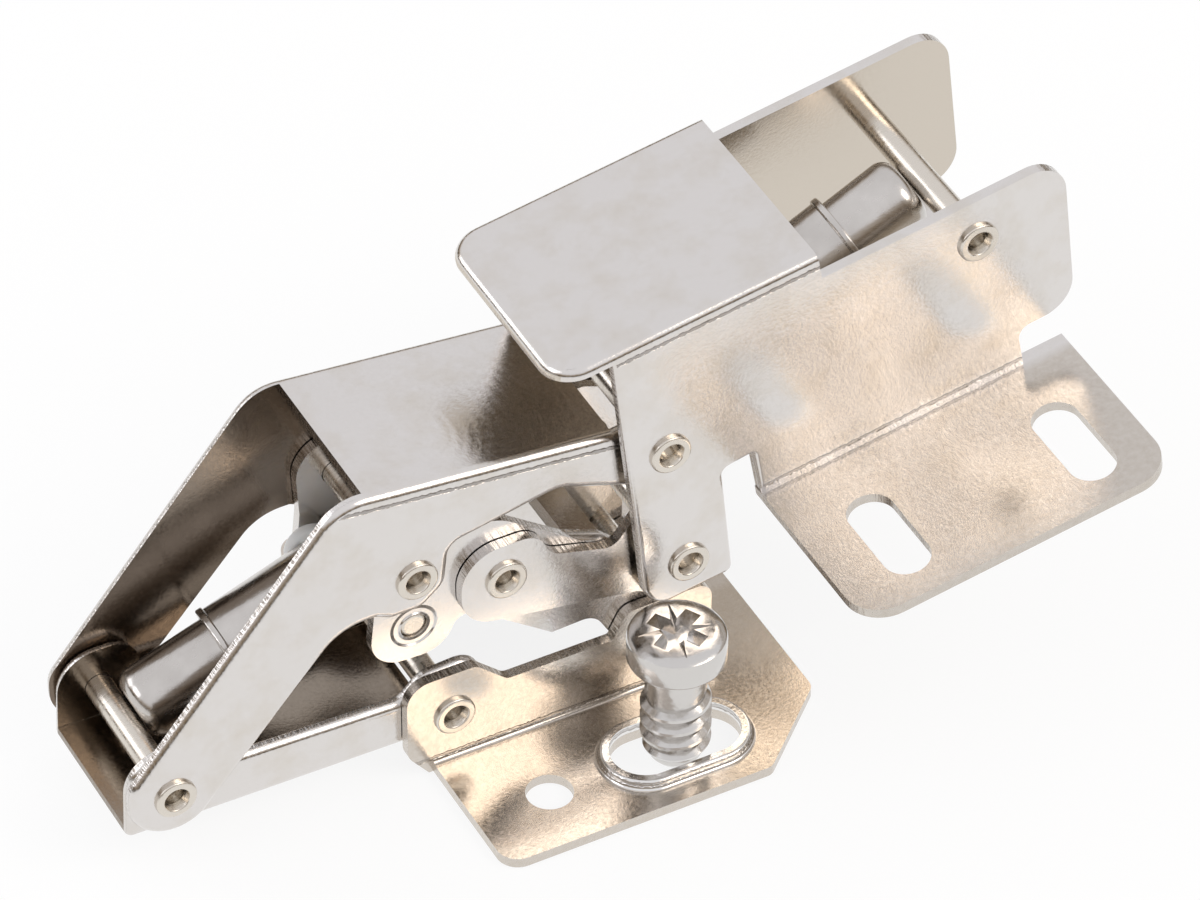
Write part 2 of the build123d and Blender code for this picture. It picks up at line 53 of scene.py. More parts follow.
# Room: a seamless pale paper floor, a white tent that is open and dim near the floor, and
# soft panels in front on the right, on the left, and behind on the left.
MM = 0.001
PAPER_SIZE = 1.5
PAPER_DROP = 0.1 * MM  # the paper lies this far under the hinge
PANEL_DISTANCE = 0.9
MATH = "ShaderNodeMath"


def srgb(code):
    """A #rrggbb colour as linear RGBA."""
    parts = [int(code[i : i + 2], 16) / 255 for i in (1, 3, 5)]
    return [p / 12.92 if p <= 0.04045 else ((p + 0.055) / 1.055) ** 2.4 for p in parts] + [1.0]


def add(tree, kind, settings=None, inputs=()):
    """One shader node, with its settings and its inputs, by name or in their order.

    An input is a value, another node's output, or another node, for that one's first output.
    """
    node = tree.nodes.new(kind)
    for name, value in (settings or {}).items():
        if hasattr(node, name):
            setattr(node, name, value)
        else:
            node.inputs[name].default_value = value
    for name, value in inputs.items() if isinstance(inputs, dict) else enumerate(inputs):
        if isinstance(value, bpy.types.Node):
            value = value.outputs[0]
        if isinstance(value, bpy.types.NodeSocket):
            tree.links.new(value, node.inputs[name])
        else:
            node.inputs[name].default_value = value
    return node


def material(name, surface):
    """A material whose tree is filled by surface(tree), which returns the last shader."""
    made = bpy.data.materials.new(name)
    made.use_nodes = True
    made.node_tree.nodes.clear()
    last = surface(made.node_tree)
    add(made.node_tree, "ShaderNodeOutputMaterial", {}, {"Surface": last})
    return made


def white_paper(tree):
    """Matt paper that takes the object's shadow, and that metal mirrors as plain white."""
    lit = add(tree, "ShaderNodeBsdfDiffuse", {"Color": srgb("#fafafa")})
    plain = add(tree, "ShaderNodeEmission", {"Color": srgb("#ffffff"), "Strength": 1.0})
    ray = add(tree, "ShaderNodeLightPath")
    mirrored = add(
        tree, MATH, {"operation": "MAXIMUM"},
        (ray.outputs["Is Glossy Ray"], ray.outputs["Is Transmission Ray"]),
    )
    eye = add(tree, MATH, {"operation": "MULTIPLY"}, (ray.outputs["Is Camera Ray"], 0.85))
    share = add(tree, MATH, {"operation": "MAXIMUM"}, (mirrored, eye))
    return add(tree, "ShaderNodeMixShader", {}, (share, lit, plain))


paper = bmesh.new()
bmesh.ops.create_grid(paper, x_segments=1, y_segments=1, size=PAPER_SIZE)
bmesh.ops.translate(paper, vec=(0, 0, cad_box[0][2] - PAPER_DROP), verts=paper.verts)
floor_mesh = bpy.data.meshes.new("floor")
paper.to_mesh(floor_mesh)
floor = bpy.data.objects.new("floor", floor_mesh)
floor_mesh.materials.append(material("matt white paper", white_paper))
bpy.context.scene.collection.objects.link(floor)

bpy.context.scene.view_settings.view_transform = "Standard"
middle = Vector((0.005, 0.0, 0.02))


def panel(name, toward, width, height, power, colour):
    """A soft light panel in a direction from the object, facing it."""
    light = bpy.data.lights.new(name, "AREA")
    light.shape = "RECTANGLE"
    light.size = width
    light.size_y = height
    light.energy = power
    light.color = srgb(colour)[:3]
    lamp = bpy.data.objects.new(name, light)
    lamp.location = middle + PANEL_DISTANCE * Vector(toward).normalized()
    lamp.rotation_euler = (middle - lamp.location).to_track_quat("-Z", "Y").to_euler()
    bpy.context.scene.collection.objects.link(lamp)


panel(
    "front panel", toward=(0.50, -0.60, 0.70), width=0.50, height=0.40, power=2.0,
    colour="#fff4e6",
)
panel(
    "left panel", toward=(-0.90, 0.10, 0.55), width=0.45, height=0.45, power=1.1,
    colour="#f6f8ff",
)
panel(
    "far left panel", toward=(-0.65, 0.65, 0.36), width=0.45, height=0.35, power=0.9,
    colour="#f8faff",
)

room = bpy.data.worlds.new("white tent")
bpy.context.scene.world = room
room.use_nodes = True
sky = room.node_tree
sky.nodes.clear()
toward = add(sky, "ShaderNodeTexCoord").outputs["Generated"]
height = add(sky, "ShaderNodeSeparateXYZ", {}, (toward,)).outputs["Z"]
tent = add(sky, "ShaderNodeValToRGB", {}, (height,))
tent.color_ramp.elements[0].position = 0.02
tent.color_ramp.elements[0].color = srgb("#2c251f")
tent.color_ramp.elements[1].position = 0.46
tent.color_ramp.elements[1].color = srgb("#f8f8fb")
tent.color_ramp.elements.new(0.24).color = srgb("#a08d74")
soft = add(sky, "ShaderNodeBackground", {"Strength": 0.95}, {"Color": tent})
plain = add(sky, "ShaderNodeBackground", {"Color": srgb("#ffffff"), "Strength": 1.0})
eye = add(sky, "ShaderNodeLightPath").outputs["Is Camera Ray"]
tent_or_white = add(sky, "ShaderNodeMixShader", {}, (eye, soft, plain))
add(sky, "ShaderNodeOutputWorld", {}, {"Surface": tent_or_white})

# Camera: a long lens at the product view's angle, 0.6 m away.
back = Vector((-0.35177, -0.65332, 0.67043))
level = Vector((0.88048, -0.47409, 0.0))
stand = Vector((-0.19981, -0.39617, 0.42809))
over = back.cross(level)
roll = math.radians(0.47)
right = math.cos(roll) * level + math.sin(roll) * over
up = math.cos(roll) * over - math.sin(roll) * level
lens = bpy.data.cameras.new("camera")
lens.sensor_width = 36.0
lens.lens = 212.16
lens.clip_start = 0.01
camera = bpy.data.objects.new("camera", lens)
turn = Matrix((right, up, back)).transposed().to_4x4()
camera.matrix_world = Matrix.Translation(stand) @ turn
bpy.context.scene.collection.objects.link(camera)
bpy.context.scene.camera = camera

# Base plate: 1 mm steel strip, blanked, its walls folded up and its slots drawn, then nickel
# plated in a barrel. The plate is bright, but it follows the strip's fine grain and the slow
# waves of the pressing, and it turns champagne where the plating is thin.
SHEET = 1.0 * MM
SKIN = 0.02 * MM  # how far a mask reaches past a face
UPWARDS = (0, 0, 1)
NOWHERE = -1.0  # a level, in metres, that lies under the whole hinge
BASE_FLAT = 1.6 * MM  # the base is flat plate up to here, and wall over it
BASE_CREASE = 1.55 * MM
FLAT = "#ddd9d6"  # nickel over flat strip
WARM = "#d7d1ca"  # nickel where the plating is thinner
RIM = "#e8e6e4"  # nickel over a burnished rim
CREASE_SHADE = "#6a625b"  # painted shade in a fold's crease
MIX = "ShaderNodeMix"
NOISE = "ShaderNodeTexNoise"
RANGE = "ShaderNodeMapRange"
BUMP = "ShaderNodeBump"


def within(tree, value, low, high, soft=0.05 * MM):
    """1 where a length lies between low and high, falling to 0 over a soft edge."""
    rise = add(
        tree, RANGE,
        {"interpolation_type": "SMOOTHSTEP", "From Min": low - soft, "From Max": low},
        {"Value": value},
    )
    fall = add(
        tree, RANGE,
        {
            "interpolation_type": "SMOOTHSTEP", "From Min": high, "From Max": high + soft,
            "To Min": 1.0, "To Max": 0.0,
        },
        {"Value": value},
    )
    return add(tree, MATH, {"operation": "MULTIPLY"}, (rise, fall))


def places(tree, flat):
    """Where a point of the sheet is, and which way its face leans.

    That is the point, its parts along X and Z, its distance from the middle plane, and how far
    its face turns towards flat, the normal of the part's flat faces.
    """
    coordinates = add(tree, "ShaderNodeTexCoord")
    where, facing = coordinates.outputs["Object"], coordinates.outputs["Normal"]
    part = add(tree, "ShaderNodeSeparateXYZ", {}, (where,))
    across = add(tree, MATH, {"operation": "ABSOLUTE"}, (part.outputs["Y"],))
    lean = add(tree, "ShaderNodeVectorMath", {"operation": "DOT_PRODUCT"}, (facing, flat))
    return where, part.outputs["X"], part.outputs["Z"], across, lean.outputs["Value"]


def cut_faces(tree, wall, flat, keep_flat, cut_above):
    """Masks of the sheared faces: those of the walls, and those of the flat parts.

    keep_flat says on which side of the walls' band a face along flat is the fold and not a
    cut: 1 above, -1 below, 0 for no such fold. Below the height cut_above the walls' band is
    flat sheet.
    """
    where, _, high, across, lean = places(tree, flat)
    in_wall = within(tree, across, wall - SKIN, wall + SHEET + SKIN, SKIN)
    raised = add(tree, MATH, {"operation": "GREATER_THAN"}, (high, cut_above))
    facing = add(tree, "ShaderNodeTexCoord").outputs["Normal"]
    side = add(tree, "ShaderNodeSeparateXYZ", {}, (facing,)).outputs["Y"]
    sideways = add(tree, MATH, {"operation": "ABSOLUTE"}, (side,))
    edge_on = add(tree, MATH, {"operation": "LESS_THAN"}, (sideways, 0.35))
    if keep_flat:
        kept = add(tree, MATH, {"operation": "MULTIPLY"}, (lean, keep_flat))
        not_fold = add(tree, MATH, {"operation": "LESS_THAN"}, (kept, 0.93))
        edge_on = add(tree, MATH, {"operation": "MULTIPLY"}, (edge_on, not_fold))
    band = add(tree, MATH, {"operation": "MULTIPLY"}, (in_wall, raised))
    wall_cut = add(tree, MATH, {"operation": "MULTIPLY"}, (band, edge_on))
    steep = add(tree, MATH, {"operation": "ABSOLUTE"}, (lean,))
    upright = add(tree, MATH, {"operation": "LESS_THAN"}, (steep, 0.35))
    off_wall = add(tree, MATH, {"operation": "SUBTRACT"}, (1.0, in_wall))
    flat_cut = add(tree, MATH, {"operation": "MULTIPLY"}, (off_wall, upright))
    return wall_cut, flat_cut


def plating(tree, wall, flat, keep_flat, foot, foot_from, inner_shade):
    """The colour of the plated sheet: cloudy at random, darker on the feet, and with painted shade on
    the faces turned into a channel.
    """
    where, _, _, across, lean = places(tree, flat)
    cloud = add(tree, NOISE, {"Scale": 260.0, "Detail": 3.0, "Roughness": 0.6}, {"Vector": where})
    fade = add(tree, RANGE, {"From Min": 0.25, "From Max": 0.55}, {"Value": cloud})
    tone = add(tree, MIX, {"data_type": "RGBA"}, {0: fade, 6: srgb(WARM), 7: srgb(FLAT)})
    if inner_shade:
        # Painted shade: faces turned into the channel, between its walls, take a darker colour.
        outward = add(tree, MATH, {"operation": "MULTIPLY"}, (lean, keep_flat))
        turned_in = add(tree, MATH, {"operation": "LESS_THAN"}, (outward, 0.5))
        between = add(tree, MATH, {"operation": "LESS_THAN"}, (across, wall + SKIN))
        in_shade = add(tree, MATH, {"operation": "MULTIPLY"}, (turned_in, between))
        tone = add(
            tree, MIX, {"data_type": "RGBA"}, {0: in_shade, 6: tone.outputs[2], 7: srgb(inner_shade)},
        )
    if foot:
        outside = add(
            tree, RANGE, {"From Min": foot_from, "From Max": foot_from + 1.2 * MM}, {"Value": across},
        )
        speckle = add(
            tree, NOISE, {"Scale": 1500.0, "Detail": 3.0, "Roughness": 0.7}, {"Vector": where},
        )
        thin = add(tree, MIX, {"data_type": "RGBA"}, {0: speckle, 6: srgb(foot), 7: srgb(WARM)})
        tone = add(
            tree, MIX, {"data_type": "RGBA"},
            {0: outside, 6: tone.outputs[2], 7: thin.outputs[2]},
        )
    return tone.outputs[2]


def creased(tree, creases, wall, flat):
    """1 in the rough line, 0.24 mm wide, that the die leaves beside a bend, times its depth.

    creases are (normal, level, depth, start): the line runs on the walls' outer faces, where
    the position along normal is at level, from start on along X.
    """
    where, forward, _, across, _ = places(tree, flat)
    dent = 0.0
    for normal, level, depth, start in creases:
        far = add(tree, "ShaderNodeVectorMath", {"operation": "DOT_PRODUCT"}, (where, normal))
        fray = add(tree, NOISE, {"Scale": 2200.0, "Detail": 1.0}, {"Vector": where})
        fray = add(tree, MATH, {"operation": "SUBTRACT"}, (fray, 0.5))
        far = add(
            tree, MATH, {"operation": "MULTIPLY_ADD"}, (fray, 0.35 * MM, far.outputs["Value"]),
        )
        line = within(tree, far, level - 0.12 * MM, level + 0.12 * MM, 0.1 * MM)
        outer = add(tree, MATH, {"operation": "GREATER_THAN"}, (across, wall + SHEET - 2 * SKIN))
        begun = add(tree, MATH, {"operation": "GREATER_THAN"}, (forward, start))
        there = add(tree, MATH, {"operation": "MULTIPLY"}, (outer, begun))
        line = add(tree, MATH, {"operation": "MULTIPLY"}, (line, there))
        dent = add(tree, MATH, {"operation": "MULTIPLY_ADD"}, (line, depth, dent))
    return dent


def nickel(
    tree, wall=7.7 * MM, flat=UPWARDS, keep_flat=0, cut_above=NOWHERE, rims_above=None,
    foot=None, foot_from=None, inner_shade=None, creases=(), marks=None, pressed=None,
):
    """Bright nickel over strip: a soft mirror, silvery and ridged where the strip is sheared.

    wall is how far the walls' inner faces are from the middle, and flat the flat faces' normal.
    What rises over rims_above beside the walls is a polished drawn rim. marks is the centre of
    the die's turning marks, and pressed that of a pressed ring.
    """
    where, _, high, across, _ = places(tree, flat)
    colour = plating(tree, wall, flat, keep_flat, foot, foot_from, inner_shade)
    # Slow waves 14 mm long, and orange peel 0.3 mm wide.
    waves = add(tree, NOISE, {"Scale": 70.0, "Detail": 1.0, "Roughness": 0.4}, {"Vector": where})
    peel = add(tree, NOISE, {"Scale": 3300.0, "Detail": 2.0, "Roughness": 0.65}, {"Vector": where})
    gloss = add(
        tree, RANGE, {"From Min": 0.3, "From Max": 0.7, "To Min": 0.14, "To Max": 0.25},
        {"Value": peel},
    )
    wall_cut, flat_cut = cut_faces(tree, wall, flat, keep_flat, cut_above)
    if rims_above:
        tall = add(tree, MATH, {"operation": "GREATER_THAN"}, (high, rims_above))
        beside = add(tree, MATH, {"operation": "GREATER_THAN"}, (across, wall + 2 * SHEET + SKIN))
        rim = add(tree, MATH, {"operation": "MULTIPLY"}, (tall, beside))
        no_rim = add(tree, MATH, {"operation": "SUBTRACT"}, (1.0, rim))
        flat_cut = add(tree, MATH, {"operation": "MULTIPLY"}, (flat_cut, no_rim))
        gloss = add(tree, MATH, {"operation": "MULTIPLY_ADD"}, (rim, -0.07, gloss))
        silver = add(tree, MIX, {"data_type": "RGBA"}, {0: rim, 6: colour, 7: srgb(RIM)})
        colour = silver.outputs[2]
    # Sheared edges: ridges 0.4 mm apart that run across the strip's thickness.
    ridges = 0.0
    for mask, squeeze in ((wall_cut, (1, 0.06, 1)), (flat_cut, (1, 1, 0.06))):
        cut_place = add(tree, "ShaderNodeMapping", {"Scale": squeeze}, {"Vector": where})
        torn = add(
            tree, NOISE, {"Scale": 2600.0, "Detail": 2.0, "Roughness": 0.7}, {"Vector": cut_place},
        )
        ridges = add(tree, MATH, {"operation": "MULTIPLY_ADD"}, (torn, mask, ridges))
    cut = add(tree, MATH, {"operation": "MAXIMUM"}, (wall_cut, flat_cut))
    gloss = add(tree, MATH, {"operation": "MULTIPLY_ADD"}, (cut, 0.06, gloss))
    relief = add(tree, BUMP, {"Strength": 0.3, "Distance": 0.9 * MM}, {"Height": waves})
    relief = add(
        tree, BUMP, {"Strength": 0.35, "Distance": 0.03 * MM}, {"Height": peel, "Normal": relief},
    )
    relief = add(
        tree, BUMP, {"Strength": 0.8, "Distance": 0.12 * MM}, {"Height": ridges, "Normal": relief},
    )
    if creases:
        dent = creased(tree, creases, wall, flat)
        # The crease's groove is a bump, and its darker colour is painted shade in that groove.
        crease_shade = add(tree, MATH, {"operation": "MULTIPLY"}, (dent, 0.55))
        dark = add(tree, MIX, {"data_type": "RGBA"}, {0: crease_shade, 6: colour, 7: srgb(CREASE_SHADE)})
        colour = dark.outputs[2]
        relief = add(
            tree, BUMP, {"Strength": 0.8, "Distance": 0.15 * MM, "invert": True},
            {"Height": dent, "Normal": relief},
        )
    if marks:
        # Rings 1 mm apart, as coarse as they need to be to show.
        seat = add(tree, "ShaderNodeVectorMath", {"operation": "SUBTRACT"}, (where, marks))
        turned = add(
            tree, "ShaderNodeTexWave",
            {
                "wave_type": "RINGS", "rings_direction": "SPHERICAL", "Scale": 300.0,
                "Distortion": 0.4, "Detail": 1.0, "Detail Scale": 2.0,
            },
            {"Vector": seat},
        )
        inner = within(tree, across, NOWHERE, wall - SKIN - 0.8 * MM, 0.5 * MM)
        on_flat = add(
            tree, MATH, {"operation": "MULTIPLY"}, (turned.outputs["Fac"], inner),
        )
        relief = add(
            tree, BUMP, {"Strength": 0.09, "Distance": 0.05 * MM},
            {"Height": on_flat, "Normal": relief},
        )
    if pressed:
        seat = add(tree, "ShaderNodeVectorMath", {"operation": "SUBTRACT"}, (where, pressed))
        seat = add(tree, "ShaderNodeVectorMath", {"operation": "MULTIPLY"}, (seat, (1, 0, 1)))
        away = add(tree, "ShaderNodeVectorMath", {"operation": "LENGTH"}, (seat,))
        groove = within(tree, away.outputs["Value"], 1.55 * MM, 1.9 * MM, 0.35 * MM)
        relief = add(
            tree, BUMP, {"Strength": 1.0, "Distance": 0.35 * MM, "invert": True},
            {"Height": groove, "Normal": relief},
        )
    return add(
        tree, "ShaderNodeBsdfPrincipled", {"Metallic": 1.0},
        {"Base Color": colour, "Roughness": gloss, "Normal": relief},
    )


def finish(node, made):
    """Gives a CAD node its finish in every slot."""
    mesh = nodes[node].data
    if not mesh.materials:
        mesh.materials.append(made)
    for place in range(len(mesh.materials)):
        mesh.materials[place] = made


def base_nickel(tree):
    """The walls' fold is creased, and the slots' rims rise over the plate."""
    # Painted shade darkens the crease line along the walls' fold.
    return nickel(
        tree, creases=((UPWARDS, BASE_CREASE, 0.6, NOWHERE),), foot="#c9bfb3",
        foot_from=0.1 * MM, cut_above=BASE_FLAT, rims_above=SHEET + 3 * SKIN,
    )


finish("base_plate", material("nickel plated steel strip, base plate", base_nickel))

# Lower arm: a shallow channel of the same strip, folded upwards. It turns on the base's rear
# axle, inside the base's walls.


def lower_nickel(tree):
    # Painted shade darkens the faces turned into the channel.
    return nickel(tree, wall=6.6 * MM, keep_flat=-1, inner_shade="#94897d")


finish("lower_arm", material("nickel plated steel strip, lower arm", lower_nickel))

# Outer arm: a deep channel. Its web keeps the turning marks of the die, and a rough line runs
# along each wall where the fold was set.
WEB_SLOPE = math.radians(-6.1)
WEB_CREASE = 1.25 * MM  # under the web's outer face
web_normal = (-math.sin(WEB_SLOPE), 0.0, math.cos(WEB_SLOPE))
web_point = Vector((-12.9, 0.0, 33.95)) * MM
web_level = web_point.dot(Vector(web_normal))


def arm_nickel(tree):
    # Painted shade darkens the faces turned into the channel, and the crease line beside the web's
    # fold.
    return nickel(
        tree, flat=web_normal, keep_flat=1,
        creases=((web_normal, web_level - WEB_CREASE, 1.0, NOWHERE),),
        marks=(-7.5 * MM, -1.8 * MM, 33.4 * MM), inner_shade="#8d8175",
    )


finish("outer_arm", material("nickel plated steel strip, outer arm", arm_nickel))

# Cross link: two walls and a bridge, with a ring pressed round the lower spring's seat.


def link_nickel(tree):
    return nickel(tree, wall=6.6 * MM, pressed=(-8.3 * MM, 0.0, 16.75 * MM))


finish("cross_link", material("nickel plated steel strip, cross link", link_nickel))

# Short links: a flat blank at each side.
link_strip = material("nickel plated steel strip, short links", nickel)
for side_name in ("near", "far"):
    finish(f"short_link_{side_name}", link_strip)

# Door bracket: a roofed channel, tilted 9.5 degrees, whose flanges carry the door's slots. The
# roof shows turning marks, and each fold has its rough line.
TILT = math.radians(9.5)
roof_normal = (-math.sin(TILT), 0.0, math.cos(TILT))
bracket_pivot = Vector((14.6, 0.0, 29.05)) * MM
pivot_level = bracket_pivot.dot(Vector(roof_normal))
BRACKET_WALL = 9.4 * MM
ROOF_CREASE = 12.5 * MM  # over the pivot's level
FLANGE_CREASE = 9.05 * MM  # under the pivot's level
FLANGE_START = 23.5 * MM


def bracket_nickel(tree):
    # Painted shade darkens the faces turned into the channel, and the crease lines beside the folds.
    return nickel(
        tree, wall=BRACKET_WALL, flat=roof_normal, keep_flat=1,
        creases=(
            (roof_normal, pivot_level + ROOF_CREASE, 1.0, NOWHERE),
            (roof_normal, pivot_level - FLANGE_CREASE, 0.5, FLANGE_START),
        ),
        marks=(18.05 * MM, 1.1 * MM, 43.6 * MM), inner_shade="#d0c7bb",
        foot="#bfb6ab", foot_from=BRACKET_WALL + SHEET + SKIN,
    )


finish("door_bracket", material("nickel plated steel strip, door bracket", bracket_nickel))

# Axles: turned steel pins whose hollow ends are spun over the sheet, nickel plated.


def pin_nickel(tree):
    """A satin mirror, with the lathe's rings left round the pin."""
    where = add(tree, "ShaderNodeTexCoord").outputs["Object"]
    stretched = add(tree, "ShaderNodeMapping", {"Scale": (0.15, 1, 0.15)}, {"Vector": where})
    turned = add(tree, NOISE, {"Scale": 2800.0, "Detail": 2.0}, {"Vector": stretched})
    gloss = add(
        tree, RANGE, {"From Min": 0.3, "From Max": 0.7, "To Min": 0.2, "To Max": 0.34},
        {"Value": turned},
    )
    ridge = add(tree, BUMP, {"Strength": 0.3, "Distance": 0.03 * MM}, {"Height": turned})
    return add(
        tree, "ShaderNodeBsdfPrincipled", {"Metallic": 1.0, "Base Color": srgb("#dcd5cb")},
        {"Roughness": gloss, "Normal": ridge},
    )


pin_steel = material("nickel plated turned steel", pin_nickel)
for node in nodes:
    if "_axle" in node:
        finish(node, pin_steel)

# Cartridges: deep-drawn steel tubes that telescope over a coil spring. Drawing leaves fine
# lines along them, and the plating over it is duller than on the sheet.


def drawn_nickel(tree):
    """A cloudy satin mirror with lines along the tube, 0.7 mm apart."""
    where = add(tree, "ShaderNodeTexCoord").outputs["Object"]
    stretched = add(tree, "ShaderNodeMapping", {"Scale": (0.25, 1, 1)}, {"Vector": where})
    lines = add(
        tree, NOISE, {"Scale": 1500.0, "Detail": 3.0, "Roughness": 0.6}, {"Vector": stretched},
    )
    cloud = add(tree, NOISE, {"Scale": 300.0, "Detail": 3.0}, {"Vector": where})
    tone = add(tree, MIX, {"data_type": "RGBA"}, {0: cloud, 6: srgb("#b9b4af"), 7: srgb("#dedad6")})
    gloss = add(
        tree, RANGE, {"From Min": 0.3, "From Max": 0.7, "To Min": 0.16, "To Max": 0.3},
        {"Value": lines},
    )
    ridge = add(tree, BUMP, {"Strength": 0.35, "Distance": 0.04 * MM}, {"Height": lines})
    return add(
        tree, "ShaderNodeBsdfPrincipled", {"Metallic": 1.0},
        {"Base Color": tone.outputs[2], "Roughness": gloss, "Normal": ridge},
    )


drawn_steel = material("nickel plated drawn steel", drawn_nickel)
for name in ("low", "high"):
    finish(f"{name}_tube", drawn_steel)
    finish(f"{name}_sleeve", drawn_steel)

# Coil springs: spring steel wire with a film of oil, left unplated. They are hidden inside
# the cartridges, which keep them straight.


def oiled_wire(tree):
    """Dark and smooth, with an uneven film of oil."""
    where = add(tree, "ShaderNodeTexCoord").outputs["Object"]
    film = add(tree, NOISE, {"Scale": 900.0, "Detail": 2.0}, {"Vector": where})
    gloss = add(
        tree, RANGE, {"From Min": 0.3, "From Max": 0.7, "To Min": 0.2, "To Max": 0.4},
        {"Value": film},
    )
    return add(
        tree, "ShaderNodeBsdfPrincipled", {"Metallic": 1.0, "Base Color": srgb("#6f6b68")},
        {"Roughness": gloss},
    )


wire = material("oiled spring steel wire", oiled_wire)
for name in ("low", "high"):
    finish(f"{name}_spring", wire)

# Saddles: natural nylon, moulded, seated on an axle at one end of each cartridge. The lower
# one has a round cheek at its far side, a bevelled disc beside the cross link's wall.
CHEEK_RADIUS = 2.2 * MM
CHEEK_THICKNESS = 1.2 * MM
CHEEK_BEVEL = 0.3 * MM
cheek_centre = Vector((-11.8, 5.4, 16.7)) * MM


def natural_nylon(tree):
    """Milky and half clear, with the faint flow marks of the mould."""
    where = add(tree, "ShaderNodeTexCoord").outputs["Object"]
    flow = add(tree, NOISE, {"Scale": 700.0, "Detail": 2.0}, {"Vector": where})
    gloss = add(
        tree, RANGE, {"From Min": 0.3, "From Max": 0.7, "To Min": 0.28, "To Max": 0.42},
        {"Value": flow},
    )
    ridge = add(tree, BUMP, {"Strength": 0.09, "Distance": 0.05 * MM}, {"Height": flow})
    return add(
        tree, "ShaderNodeBsdfPrincipled",
        {
            "Base Color": srgb("#f3f3f1"), "IOR": 1.53, "Subsurface Weight": 0.4,
            "Subsurface Scale": 1.0 * MM, "Subsurface Radius": (1.0, 0.9, 0.8),
        },
        {"Roughness": gloss, "Normal": ridge},
    )


def piece(name, shape, made, angle=35):
    """An object from a bmesh, smooth but for edges sharper than the angle in degrees."""
    bmesh.ops.recalc_face_normals(shape, faces=shape.faces)
    for face in shape.faces:
        face.smooth = True
    mesh = bpy.data.meshes.new(name)
    shape.to_mesh(mesh)
    shape.free()
    mesh.set_sharp_from_angle(angle=math.radians(angle))
    mesh.materials.append(made)
    thing = bpy.data.objects.new(name, mesh)
    bpy.context.scene.collection.objects.link(thing)
    return thing


nylon = material("moulded natural nylon", natural_nylon)
for name in ("low", "high"):
    finish(f"{name}_saddle", nylon)

disc = bmesh.new()
bmesh.ops.create_cone(
    disc, cap_ends=True, segments=48, radius1=CHEEK_RADIUS, radius2=CHEEK_RADIUS,
    depth=CHEEK_THICKNESS,
)
rims = [edge for edge in disc.edges if abs(edge.verts[0].co.z - edge.verts[1].co.z) < SKIN]
bmesh.ops.bevel(
    disc, geom=rims, offset=CHEEK_BEVEL, segments=3, profile=0.5, affect="EDGES", material=-1,
)
cheek_place = Matrix.Translation(cheek_centre) @ Matrix.Rotation(math.pi / 2, 4, "X")
bmesh.ops.transform(disc, matrix=cheek_place, verts=disc.verts)
cheek = piece("low_saddle_cheek", disc, nylon)
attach(cheek, "low_sleeve")

# Fixing screws: cold-headed steel with a pan head and a cross recess with four fine ticks, and
# a rolled thread 1.6 mm in pitch, bright nickel plated. They stand loose in the slots.
SCREW_X = 12.2 * MM
SCREW_Y = 16.5 * MM
CORE = 2.55 * MM
CREST = 3.1 * MM
PITCH = 1.6 * MM
FACETS = 40  # of the thread, once round
THREAD_LOW = 0.9 * MM
THREAD_HIGH = 8.0 * MM
HEAD_TOP = 14.8 * MM
ROOT = CORE - 0.2 * MM  # where the ridge of the thread starts, inside the core
# Radius and height, in mm, from the tip along the core and the neck to the head.
screw_profile = (
    (0, 0), (1.7, 0), (2.35, 0.8), (2.55, 1.9), (2.55, 7.6), (2.65, 8.1), (2.65, 11.2),
    (2.8, 11.4), (3.9, 11.55), (4.25, 11.75), (4.35, 12.0), (4.35, 14.0), (4.25, 14.3),
    (4.0, 14.5), (3.1, 14.7), (1.6, 14.78), (0, 14.8),
)


def screw_body():
    """Core, neck and head, spun from the profile."""
    shape = bmesh.new()
    line = [shape.verts.new((radius * MM, 0, height * MM)) for radius, height in screw_profile]
    edges = [shape.edges.new(pair) for pair in zip(line, line[1:])]
    bmesh.ops.spin(
        shape, geom=line + edges, cent=(0, 0, 0), axis=UPWARDS, angle=math.tau, steps=2 * FACETS,
        use_merge=True,
    )
    bmesh.ops.remove_doubles(shape, verts=shape.verts, dist=0.001 * MM)
    return shape


def thread_ridge():
    """A trapezoid that climbs round the core, and runs out into the tip and the neck."""
    shape = bmesh.new()
    half_root, half_crest = 0.62 * MM, 0.16 * MM
    ridge = ((ROOT, -half_root), (CREST, -half_crest), (CREST, half_crest), (ROOT, half_root))
    corners = [shape.verts.new((radius, 0, THREAD_LOW + climb)) for radius, climb in ridge]
    section = [shape.edges.new((corners[i - 1], corners[i])) for i in range(len(corners))]
    steps = round((THREAD_HIGH - THREAD_LOW) / PITCH * FACETS)
    bmesh.ops.spin(
        shape, geom=corners + section, cent=(0, 0, 0), axis=UPWARDS, steps=steps,
        dvec=(0, 0, PITCH / FACETS), angle=math.tau * steps / FACETS,
    )
    bmesh.ops.holes_fill(shape, edges=shape.edges, sides=4)
    for vert in shape.verts:
        from_low = vert.co.z - THREAD_LOW + 0.3 * MM
        from_high = THREAD_HIGH + 0.7 * MM - vert.co.z
        grown = max(0.0, min(1.0, min(from_low, from_high) / (1.7 * MM)))
        radius = math.hypot(vert.co.x, vert.co.y)
        shrink = (ROOT + (radius - ROOT) * grown) / radius
        vert.co.x *= shrink
        vert.co.y *= shrink
    return shape


def cross_cutter(turned):
    """Two crossed bars that taper to their floor, 1.4 mm under the head's top."""
    shape = bmesh.new()
    for quarter in range(2):
        bar = bmesh.ops.create_cube(shape, size=1.0)["verts"]
        for vert in bar:
            deep = 1.0 if vert.co.z < 0 else 0.0
            vert.co.x *= (5.6 - 1.8 * deep) * MM
            vert.co.y *= (1.6 - 0.45 * deep) * MM
            vert.co.z = HEAD_TOP + (0.2 - 1.6 * deep) * MM
        spun = Matrix.Rotation(turned + quarter * math.pi / 2, 4, "Z")
        bmesh.ops.transform(shape, matrix=spun, verts=bar)
    return shape


